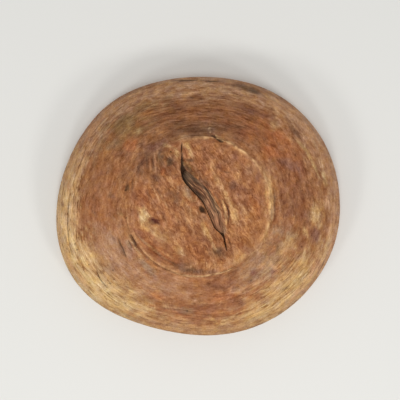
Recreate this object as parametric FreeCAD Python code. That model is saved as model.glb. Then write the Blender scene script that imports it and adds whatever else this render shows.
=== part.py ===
"""A carved wooden bowl on a low oval foot, cut from one round of a trunk with the pith near its middle.

It stands on its foot. +Z is up, +X is along the longer diameter, and the origin is on the foot's plane, at the middle
of the overall box. Lengths are in millimetres and angles in degrees, and a plan angle goes from +X towards +Y.

The bowl is one piece of wood. Its only other solid is the tongue of bark that the tree grew around, which lies in
the check that opens across the foot.
"""

import FreeCAD
import Part

import math
import os

# Overall shape
HEIGHT = 118.0
WIDEST_Z = 104.0  # the wall is widest a little below the rim, then draws in
WIDEST_RADIUS = 164.5  # mean

# The wood has dried out of round. Each lobe is (how many there are, how far they swell, plan angle of the first).
WALL_LOBES = [(2, 7.7, -6.0), (3, 1.5, 40.0), (4, 2.1, -34.0), (5, 1.0, 11.0)]

# Foot: a low disc whose worn bevel spreads out to meet the wall, more on one side than on the other
FOOT_RADIUS = 78.8  # mean, at the resting face
FOOT_LOBES = [(2, 1.3, -10.0)]
FOOT_HEIGHT = 3.2
BEVEL_WIDTH = 3.2  # mean
BEVEL_LOBES = [(1, 2.0, -15.0), (2, 1.4, -5.0)]

# Hollow and rim
RIM_THICKNESS = 10.0
RIM_ROUNDING = 3.3
FLOOR_Z = 18.0
HOLLOW_WIDEST_Z = 112.0
HOLLOW_SQUARENESS = 2.6  # 2 is an ellipse, and more makes the floor flatter and the wall more even
HOLLOW_FLAT = 0.12  # the flat middle of the floor, as a share of the hollow's radius
CUT_CLEAR = 10.0  # how far a cutting shape runs past what it cuts

# The two sides of the check across the foot, each from its end at -Y to its end at +Y
CHECK_NEAR_SIDE = [
    (-18.2, -68.0), (-18.9, -54.0), (-19.3, -38.0), (-16.0, -27.8), (-8.4, -18.9), (4.2, -5.0),
    (13.1, 12.8), (18.2, 24.2), (26.4, 32.4), (31.2, 45.5),
]
CHECK_FAR_SIDE = [
    (-17.0, -68.0), (-17.2, -55.0), (-14.6, -43.0), (-3.3, -32.8), (8.1, -24.0), (15.7, -13.8),
    (20.8, -3.6), (26.4, 6.4), (27.9, 25.0), (30.4, 35.5), (32.2, 45.2),
]
CHECK_DEPTH = 9.0

# The tongue of bark in the check. It meets the far side and the roof, and stands open along the near side.
BARK_LENGTH_ANGLE = 52.0  # plan angle of the tongue's length
BARK_ENDS = (-40.0, 40.0)  # along its length, from the origin
BARK_GAP = 1.7
BARK_FAR_EDGE = (-20.0, 0.8)  # (place across its length, height) where the sloping face starts
BARK_NEAR_EDGE = (-4.0, 5.6)  # and where it ends

# The pith, beside the check, and a short second check
PITH_CENTRE = (4.9, 3.3)
PITH_RADIUS = 4.3
PITH_DEPTH = 5.0
SHORT_CHECK_ARC = [(29.6, -6.2), (34.8, 5.0), (34.0, 17.9)]
SHORT_CHECK_WIDTH = 1.4
SHORT_CHECK_DEPTH = 4.0

OUTLINE_POINTS = 48
WALL_SECTIONS = 12
HOLLOW_SECTIONS = 12


def swell(lobes, angle):
    """How far an outline stands out of its mean circle at a plan angle."""
    return sum(size * math.cos(math.radians(count * (angle - first))) for count, size, first in lobes)


def foot_radius(angle):
    return FOOT_RADIUS + swell(FOOT_LOBES, angle)


def wall_base_radius(angle):
    """The wall's outline where it leaves the foot's bevel."""
    return foot_radius(angle) + BEVEL_WIDTH + swell(BEVEL_LOBES, angle)


def widest_radius(angle):
    return WIDEST_RADIUS + swell(WALL_LOBES, angle)


# The wall's profile is part of an ellipse about its widest level. A turn is measured from that level.
BASE_TURN = math.acos((FOOT_RADIUS + BEVEL_WIDTH) / WIDEST_RADIUS)
WALL_RISE = (WIDEST_Z - FOOT_HEIGHT) / math.sin(BASE_TURN)
RIM_TURN = -math.asin((HEIGHT - WIDEST_Z) / WALL_RISE)


def wall_radius(angle, turn):
    share = (math.cos(turn) - math.cos(BASE_TURN)) / (1.0 - math.cos(BASE_TURN))
    base = wall_base_radius(angle)
    return base + (widest_radius(angle) - base) * share


def wall_z(turn):
    return WIDEST_Z - WALL_RISE * math.sin(turn)


def widest_outline_middle():
    """The middle of the widest outline's box, measured from the wood's own axis."""
    angles = [math.radians(a) for a in range(360)]
    xs = [widest_radius(math.degrees(a)) * math.cos(a) for a in angles]
    ys = [widest_radius(math.degrees(a)) * math.sin(a) for a in angles]
    return (min(xs) + max(xs)) / 2.0, (min(ys) + max(ys)) / 2.0


MIDDLE = widest_outline_middle()


def smooth_edge(points, closed):
    curve = Part.BSplineCurve()
    curve.interpolate(points, PeriodicFlag=closed)
    return curve.toShape()


def outline(radius_at, z):
    """A closed smooth outline at one height."""
    points = []
    for i in range(OUTLINE_POINTS):
        angle = 360.0 * i / OUTLINE_POINTS
        radius = radius_at(angle)
        x = radius * math.cos(math.radians(angle)) - MIDDLE[0]
        y = radius * math.sin(math.radians(angle)) - MIDDLE[1]
        points.append(FreeCAD.Vector(x, y, z))
    return Part.Wire([smooth_edge(points, True)])


def outer_form():
    """The bowl before it is hollowed: the wall standing on the foot's bevel."""
    sections = []
    for i in range(WALL_SECTIONS + 1):
        turn = BASE_TURN + (RIM_TURN - BASE_TURN) * i / WALL_SECTIONS
        sections.append(outline(lambda angle: wall_radius(angle, turn), wall_z(turn)))
    wall = Part.makeLoft(sections, True)
    foot = Part.makeLoft([outline(foot_radius, 0.0), outline(wall_base_radius, FOOT_HEIGHT)], True, True)
    return wall.fuse(foot).removeSplitter()


def hollow_form():
    """What is carved out of the inside, run on past the rim."""
    power = 2.0 / HOLLOW_SQUARENESS
    depth = HOLLOW_WIDEST_Z - FLOOR_Z
    start = math.acos(HOLLOW_FLAT ** (1.0 / power))
    sections = []
    for i in range(HOLLOW_SECTIONS + 1):
        turn = start * (1.0 - i / HOLLOW_SECTIONS)
        share = math.cos(turn) ** power
        z = HOLLOW_WIDEST_Z - depth * math.sin(turn) ** power
        sections.append(outline(lambda angle: (widest_radius(angle) - RIM_THICKNESS) * share, z))
    sections.append(outline(lambda angle: widest_radius(angle) - RIM_THICKNESS, HEIGHT + CUT_CLEAR))
    return Part.makeLoft(sections, True)


def flat_points(pairs, z):
    return [FreeCAD.Vector(x, y, z) for x, y in pairs]


def check_form():
    """The check's open space, from below the foot up to its roof."""
    near = flat_points(CHECK_NEAR_SIDE, -CUT_CLEAR)
    far = flat_points(CHECK_FAR_SIDE[::-1], -CUT_CLEAR)
    wire = Part.Wire([
        smooth_edge(near, False),
        Part.makeLine(near[-1], far[0]),
        smooth_edge(far, False),
        Part.makeLine(far[-1], near[0]),
    ])
    return Part.Face(wire).extrude(FreeCAD.Vector(0, 0, CUT_CLEAR + CHECK_DEPTH))


def pith_form():
    """A shallow pit, part of a ball."""
    radius = (PITH_RADIUS ** 2 + PITH_DEPTH ** 2) / (2.0 * PITH_DEPTH)
    return Part.makeSphere(radius, FreeCAD.Vector(PITH_CENTRE[0], PITH_CENTRE[1], PITH_DEPTH - radius))


def short_check_form():
    """A narrow curved slit, pointed at both ends."""
    first, middle, last = flat_points(SHORT_CHECK_ARC, -CUT_CLEAR)
    across = FreeCAD.Vector(SHORT_CHECK_WIDTH, 0, 0)
    one_side = Part.Arc(first, middle, last).toShape()
    other_side = Part.Arc(last, middle - across, first).toShape()
    face = Part.Face(Part.Wire([one_side, other_side]))
    return face.extrude(FreeCAD.Vector(0, 0, CUT_CLEAR + SHORT_CHECK_DEPTH))


def rim_edges(shape):
    return [edge for edge in shape.Edges if edge.BoundBox.ZMin > HEIGHT - 0.01]


def bowl_body():
    body = outer_form().cut(hollow_form())
    body = body.makeFillet(RIM_ROUNDING, rim_edges(body))
    return body.cut([check_form(), pith_form(), short_check_form()])


def included_bark():
    """The tongue: the check's own shape, cut back along the near side and by a sloping face below."""
    gap_angle = math.radians(BARK_LENGTH_ANGLE - 90.0)
    shifted = check_form()
    shifted.translate(FreeCAD.Vector(BARK_GAP * math.cos(gap_angle), BARK_GAP * math.sin(gap_angle), 0))
    start, end = BARK_ENDS
    section = [
        (BARK_FAR_EDGE[0] - CUT_CLEAR, BARK_FAR_EDGE[1]),
        BARK_FAR_EDGE,
        BARK_NEAR_EDGE,
        (BARK_NEAR_EDGE[0] + CUT_CLEAR, BARK_NEAR_EDGE[1]),
        (BARK_NEAR_EDGE[0] + CUT_CLEAR, CHECK_DEPTH),
        (BARK_FAR_EDGE[0] - CUT_CLEAR, CHECK_DEPTH),
    ]
    points = [FreeCAD.Vector(start, across, z) for across, z in section]
    block = Part.Face(Part.makePolygon(points + points[:1])).extrude(FreeCAD.Vector(end - start, 0, 0))
    block.rotate(FreeCAD.Vector(0, 0, 0), FreeCAD.Vector(0, 0, 1), BARK_LENGTH_ANGLE)
    return check_form().common(shifted).common(block)


def main():
    os.makedirs("parts", exist_ok=True)
    nodes = {"bowl_body": bowl_body(), "included_bark": included_bark()}
    for name, shape in nodes.items():
        shape.exportStep(f"parts/{name}.step")
        print(name, shape.isValid(), len(shape.Solids), round(shape.Volume), shape.BoundBox)


main()
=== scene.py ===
"""A carved wooden bowl, seen from straight below, as it is when it lies turned over on its rim.

Shapes are worked out in millimetres, in the CAD model's frame, and put into the meshes in metres. Plan
angles go from +X towards +Y. The bowl is one piece of wood, carved with the pith upright near the middle of
its foot, so the growth rings follow its outline. A tongue of bark lies in the check across the foot.
"""

import math

import bmesh
import bpy
import numpy as np
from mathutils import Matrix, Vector, noise


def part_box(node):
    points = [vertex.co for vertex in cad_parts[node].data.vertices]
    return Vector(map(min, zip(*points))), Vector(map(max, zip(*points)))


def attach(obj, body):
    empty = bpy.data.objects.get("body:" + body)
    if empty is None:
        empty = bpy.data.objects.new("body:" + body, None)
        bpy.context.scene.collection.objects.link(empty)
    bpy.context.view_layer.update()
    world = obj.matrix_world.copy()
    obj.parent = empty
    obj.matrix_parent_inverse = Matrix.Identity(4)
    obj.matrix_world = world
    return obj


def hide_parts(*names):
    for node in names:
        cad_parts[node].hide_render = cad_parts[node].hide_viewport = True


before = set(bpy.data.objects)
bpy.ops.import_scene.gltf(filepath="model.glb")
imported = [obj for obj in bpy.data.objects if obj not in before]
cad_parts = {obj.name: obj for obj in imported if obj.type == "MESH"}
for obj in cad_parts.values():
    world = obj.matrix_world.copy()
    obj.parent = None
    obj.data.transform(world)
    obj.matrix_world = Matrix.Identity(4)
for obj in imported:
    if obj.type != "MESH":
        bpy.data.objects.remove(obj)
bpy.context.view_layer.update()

MM = 0.001
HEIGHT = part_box("bowl_body")[1][2] / MM

# ---- the bowl's form, as in the CAD model
WIDEST_Z = 104.0
WIDEST_RADIUS = 164.5
WALL_LOBES = [(2, 7.7, -6.0), (3, 1.5, 40.0), (4, 2.1, -34.0), (5, 1.0, 11.0)]
FOOT_RADIUS = 78.8
FOOT_LOBES = [(2, 1.3, -10.0)]
FOOT_HEIGHT = 3.2
BEVEL_WIDTH = 3.2
BEVEL_LOBES = [(1, 2.0, -15.0), (2, 1.4, -5.0)]
# Where the foot's edge is rubbed away: its middle in plan, how far in it starts, and how fast it rises
RUBBED_MIDDLE = -135.0
RUBBED_REACH = 18.8
RUBBED_RISE = 0.0066
RIM_THICKNESS = 10.0
RIM_ROUNDING = 3.3
FLOOR_Z = 18.0
HOLLOW_WIDEST_Z = 112.0
HOLLOW_SQUARENESS = 2.6
HOLLOW_FLOOR_SHARE = 0.70  # where the hollow's floor turns into its wall, as a share of the way out

CHECK_NEAR_SIDE = [
    (-18.2, -68), (-18.9, -54), (-19.3, -38), (-16, -27.8), (-8.4, -18.9), (4.2, -5), (13.1, 12.8),
    (18.2, 24.2), (26.4, 32.4), (31.2, 45.5),
]
CHECK_FAR_SIDE = [
    (-17, -68), (-17.2, -55), (-14.6, -43), (-3.3, -32.8), (8.1, -24), (15.7, -13.8), (20.8, -3.6),
    (26.4, 6.4), (27.9, 25), (30.4, 35.5), (32.2, 45.2),
]
CHECK_DEPTH = 9.0
CHECK_ENDS = (-38.0, 36.0)
PITH_CENTRE = (4.9, 3.3)
PITH_RADIUS = 4.3
PITH_DEPTH = 5.0
FLECK_DIRECTION = 60.0  # the way the flecks of the foot's end grain point
END_GRAIN_RADIUS = 84.0  # the end grain of the foot fades into the wall's rings inside this radius

# The scribed groove at the foot's edge: its depth, how far in it lies, and where in plan it is deepest
GROOVE_DEPTH = 0.75
GROOVE_INSET = 2.2
GROOVE_MIDDLE = 105.0
EDGE_WEAR = 0.45  # how deep the foot's edge is worn round

# How deep the blade left the wood uneven: in broad hollows, in flats, and in its small cuts
HOLLOWS_DEPTH = 0.55
FLATS_DEPTH = 0.22
CUTS_DEPTH = 0.07
SCOOP_SIZE = 23.0  # how far apart the scoops of the gouge are in the bowl's hollow
SCOOP_RELIEF = 1.8
RIM_WEAR = 0.35  # how deep the rim is worn uneven

# The tongue of bark in the check: the way it points in plan, its ends along that way, its width, the gap on
# its near side, and how deep its two edges and its back lie
TONGUE_DIRECTION = 52.0
TONGUE_ENDS = (-40.0, 40.0)
TONGUE_WIDTH = 11.0
TONGUE_GAP = 0.7
TONGUE_NEAR_Z = 3.4
TONGUE_FAR_Z = 0.4
TONGUE_BACK_Z = 8.7

# How finely the skin is divided: columns round the axis, and rows across each stretch of the profile
COLUMNS = 320
FOOT_ROWS = 76
BEVEL_ROWS = 9
WALL_ROWS = 88
RIM_ROWS = 14
HOLLOW_WALL_ROWS = 26
HOLLOW_FLOOR_ROWS = 36

# ---- marks cut into the wood
# Checks and cuts in the outside: the line in plan, how wide and how deep. Each one tapers at both ends.
CHECKS = [
    ([(26, -9.5), (31, -3), (34.2, 6), (34.4, 12), (33.2, 19.5)], 0.6, 1.2),  # beside the main check
    ([(33.5, 34), (35.5, 40), (37.5, 43.5)], 0.6, 1),
    ([(28.9, 37), (31.4, 45.5), (32.6, 50)], 0.7, 2),
    ([(-17.6, -72.5), (-18, -66), (-18.6, -58)], 0.6, 1.8),
    ([(-75.6, 31.5), (-72.2, 37), (-68.6, 44.4)], 0.7, 1.5),  # down the left side of the foot
    ([(-78.6, 36.5), (-75.8, 42), (-73.6, 47)], 0.6, 1.2),
    ([(-89.6, 37.2), (-85.2, 46), (-80.2, 57.6)], 0.7, 1.3),
    ([(-116.6, 73.4), (-112.6, 84.5), (-104.8, 94.2)], 0.8, 1.5),
    ([(-103, 88), (-98.8, 88.6)], 0.7, 0.9),
    ([(-149, -22), (-151, -1.4), (-152.2, 21.7), (-150.4, 44.8), (-145.6, 60)], 0.9, 1.5),
    ([(-129.5, -73), (-133, -60), (-137.5, -46)], 0.7, 0.9),
    ([(9, -148), (20.5, -146.8)], 0.9, 1),
    ([(-24, -147.2), (-12, -148.6), (-2, -148.6)], 0.9, 1),
    ([(14, -80.5), (18.4, -78.4), (22, -74.6), (28, -71.6)], 1, 1.8),  # chipped edge of the foot
    ([(-10, -127), (-6, -124.4), (-3.4, -125.4)], 0.6, 0.8),
    ([(150.5, 60.5), (146.5, 72), (140.5, 84)], 0.9, 0.9),
    ([(-157, -30), (-160, -8), (-160.6, 16)], 0.5, 0.6),  # hairlines along the rings
    ([(-140, -34), (-143.6, -10), (-144.6, 14), (-143, 36)], 0.5, 0.6),
    ([(-133.5, -22), (-135.6, -4), (-136, 12)], 0.4, 0.5),
    ([(-124, -84), (-113, -98), (-100, -110)], 0.5, 0.6),
    ([(-106, -88), (-97, -97), (-86, -106)], 0.4, 0.5),
]

# Checks across the rim: plan angle, width, and how far down both faces each one reaches
RIM_CHECKS = [(-118.0, 0.7, 13.0), (-27.0, 0.5, 7.0), (63.0, 0.8, 10.0), (161.0, 0.5, 6.0)]

# Pinholes: place in plan and radius
PINHOLES = [
    (-142.6, 43.4, 0.8), (-140.3, 50.3, 0.9), (-125.8, 67.2, 0.9), (-133.5, 39.5, 0.6), (-128, 60.5, 0.6),
    (-96.5, 72.5, 0.8), (-138, 36, 0.6), (-81.1, -18.6, 1.3), (-80.2, 12.4, 0.9), (118.5, 46, 0.7),
    (96, 74, 0.7), (-12.4, 120.2, 1), (60.2, 83.5, 0.8), (-30, -61, 0.9),
]


def smoothstep(low, high, values):
    share = np.clip((values - low) / (high - low), 0.0, 1.0)
    return share * share * (3.0 - 2.0 * share)


def wander(points, size, seed, octaves=1):
    """Smooth noise from -1 to 1 at each point, with features about size across. Each seed differs."""
    shift = Vector((seed * 17.3, seed * 5.9, seed * 11.1))
    out = np.empty(len(points))
    for i, (x, y, z) in enumerate((points / size).tolist()):
        place = Vector((x, y, z)) + shift
        out[i] = noise.noise(place) if octaves == 1 else noise.fractal(place, 1.0, 2.0, octaves)
    return out


def swell(lobes, angles):
    """How far an outline stands out of a circle, for an array of plan angles."""
    return sum(size * np.cos(np.radians(count * (angles - first))) for count, size, first in lobes)


def foot_radius(angles):
    return FOOT_RADIUS + swell(FOOT_LOBES, angles)


def wall_base_radius(angles):
    return foot_radius(angles) + BEVEL_WIDTH + swell(BEVEL_LOBES, angles)


def widest_radius(angles):
    return WIDEST_RADIUS + swell(WALL_LOBES, angles)


def rubbed_share(angles):
    """Where the foot's edge is rubbed away, from 0 to 1."""
    return smoothstep(0.2, 0.9, np.cos(np.radians(angles - RUBBED_MIDDLE)))


BASE_TURN = math.acos((FOOT_RADIUS + BEVEL_WIDTH) / WIDEST_RADIUS)
WALL_RISE = (WIDEST_Z - FOOT_HEIGHT) / math.sin(BASE_TURN)
RIM_TURN = -math.asin((HEIGHT - RIM_ROUNDING - WIDEST_Z) / WALL_RISE)


def widest_outline_middle():
    """The middle of the widest outline's box, from the wood's own axis: the CAD model's origin."""
    angles = np.arange(360.0)
    xs = widest_radius(angles) * np.cos(np.radians(angles))
    ys = widest_radius(angles) * np.sin(np.radians(angles))
    return np.array([(xs.min() + xs.max()) / 2.0, (ys.min() + ys.max()) / 2.0])


MIDDLE = widest_outline_middle()


def polar(points):
    """Plan angle in degrees and radius about the wood's axis."""
    dx, dy = points[:, 0] + MIDDLE[0], points[:, 1] + MIDDLE[1]
    return np.degrees(np.arctan2(dy, dx)), np.hypot(dx, dy)


def turn_between(angle, middle):
    """The turn from one plan angle to another, from -180 to 180 degrees."""
    return (angle - middle + 180.0) % 360.0 - 180.0


def arc_distance(angle, share_out, middle, half_turn, share, half_share):
    """How far each point is from the middle of a stretch along the outline: 1 on the stretch's own edge."""
    return np.hypot(turn_between(angle, middle) / half_turn, (share_out - share) / half_share)


def oval_distance(dx, dy, half_length, half_width, direction):
    """How far each place is from the middle of an oval that points in a direction: 1 on the oval itself."""
    turn = math.radians(direction)
    along = (dx * math.cos(turn) + dy * math.sin(turn)) / half_length
    across = (dy * math.cos(turn) - dx * math.sin(turn)) / half_width
    return np.hypot(along, across)


def in_direction(points, direction):
    """How far each point lies along a direction in plan, and across it."""
    turn = math.radians(direction)
    along = points[:, 0] * math.cos(turn) + points[:, 1] * math.sin(turn)
    across = points[:, 0] * math.sin(turn) - points[:, 1] * math.cos(turn)
    return along, across


# ---- lines and outlines
def curve_through(pairs, steps=8):
    """Points along a smooth curve through the given ones."""
    pairs = np.array(pairs, dtype=float)
    longer = np.vstack([2.0 * pairs[0] - pairs[1], pairs, 2.0 * pairs[-1] - pairs[-2]])
    slopes = (longer[2:] - longer[:-2]) / 2.0
    share = (np.arange(steps) / steps)[:, None]
    ease = share * share * (3.0 - 2.0 * share)
    leaving, arriving = share * (1.0 - share) ** 2, share * share * (share - 1.0)
    stretches = [
        pairs[i] + ease * (pairs[i + 1] - pairs[i]) + leaving * slopes[i] + arriving * slopes[i + 1]
        for i in range(len(pairs) - 1)
    ]
    return np.vstack([*stretches, pairs[-1:]])


def distance_to_line(points, line):
    """Distance in plan from each point to a line, and how far along the line it is, from 0 to 1."""
    lengths = np.hypot(*(line[1:] - line[:-1]).T)
    starts = np.concatenate([[0.0], np.cumsum(lengths)])
    best = np.full(len(points), 1e9)
    along = np.zeros(len(points))
    for i, length in enumerate(lengths):
        step = (line[i + 1] - line[i]) / length
        offset = points[:, :2] - line[i]
        share = np.clip(offset @ step, 0.0, length)
        gap = np.hypot(offset[:, 0] - share * step[0], offset[:, 1] - share * step[1])
        closer = gap < best
        best[closer] = gap[closer]
        along[closer] = (starts[i] + share[closer]) / starts[-1]
    return best, along


def inside_outline(points, outline):
    """Whether each point is inside a closed outline, in plan."""
    x, y = points[:, 0], points[:, 1]
    within = np.zeros(len(points), dtype=bool)
    for (x1, y1), (x2, y2) in zip(outline, np.roll(outline, -1, axis=0)):
        if y1 == y2:
            continue
        crosses = ((y1 > y) != (y2 > y)) & (x < (x2 - x1) * (y - y1) / (y2 - y1) + x1)
        within ^= crosses
    return within


NEAR_SIDE = curve_through(CHECK_NEAR_SIDE)
FAR_SIDE = curve_through(CHECK_FAR_SIDE)
CHECK_OUTLINE = np.vstack([NEAR_SIDE, FAR_SIDE[::-1]])


# ---- colours of the wood
WOOD_COLOURS = {
    "base": (162, 108, 68),
    "sand": (228, 182, 126),  # the palest sapwood
    "bone": (220, 182, 124),
    "straw": (208, 166, 110),
    "peach": (206, 154, 110),
    "tan": (188, 140, 94),
    "amber": (176, 120, 70),
    "orange": (182, 108, 64),
    "russet": (154, 93, 58),
    "chestnut": (136, 87, 58),
    "umber": (112, 78, 54),
    "mauve": (172, 127, 92),
    "plum": (136, 90, 68),
    "ash": (150, 121, 92),
    "olive": (142, 110, 68),
    "smoke": (82, 64, 44),
    "wine": (78, 33, 25),
    "bark": (114, 83, 59),
    "coal": (58, 46, 34),
}

# Stretches of colour that follow the outline: plan angle and half of their turn, share of the way from the
# axis to the outline and half of their depth in it, colour and strength
ARCS = [
    (172, 36, 0.93, 0.13, "sand", 0.95), (138, 28, 0.88, 0.18, "bone", 0.8),
    (92, 34, 0.96, 0.09, "tan", 0.95), (46, 25, 0.89, 0.17, "straw", 0.88),
    (8, 36, 0.97, 0.08, "peach", 0.95), (-36, 28, 0.94, 0.12, "peach", 0.9),
    (-86, 40, 0.91, 0.13, "peach", 0.9), (-137, 26, 0.93, 0.12, "peach", 0.85),
    # The umber arcs at -92 and -100 degrees, just outside the foot's upper edge, are darker wood and painted
    # shade beside the foot's step.
    (-86, 32, 0.7, 0.11, "chestnut", 0.45), (-92, 26, 0.57, 0.06, "umber", 0.55),
    (-60, 20, 0.6, 0.08, "chestnut", 0.5), (-38, 24, 0.68, 0.12, "orange", 0.45),
    (-4, 30, 0.66, 0.12, "chestnut", 0.55), (-130, 18, 0.76, 0.11, "olive", 0.6),
    (178, 22, 0.68, 0.12, "russet", 0.35), (148, 20, 0.62, 0.13, "mauve", 0.8),
    (115, 22, 0.62, 0.1, "mauve", 0.5), (90, 32, 0.75, 0.04, "chestnut", 0.6),
    (88, 34, 0.8, 0.06, "russet", 0.35), (-100, 66, 0.53, 0.05, "umber", 0.32),
    (-122, 16, 0.66, 0.06, "umber", 0.3), (30, 14, 0.65, 0.06, "straw", 0.35),
    (62, 14, 0.64, 0.05, "peach", 0.35), (76, 24, 0.58, 0.06, "chestnut", 0.5),
    (42, 22, 0.58, 0.11, "ash", 0.5),
]
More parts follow.
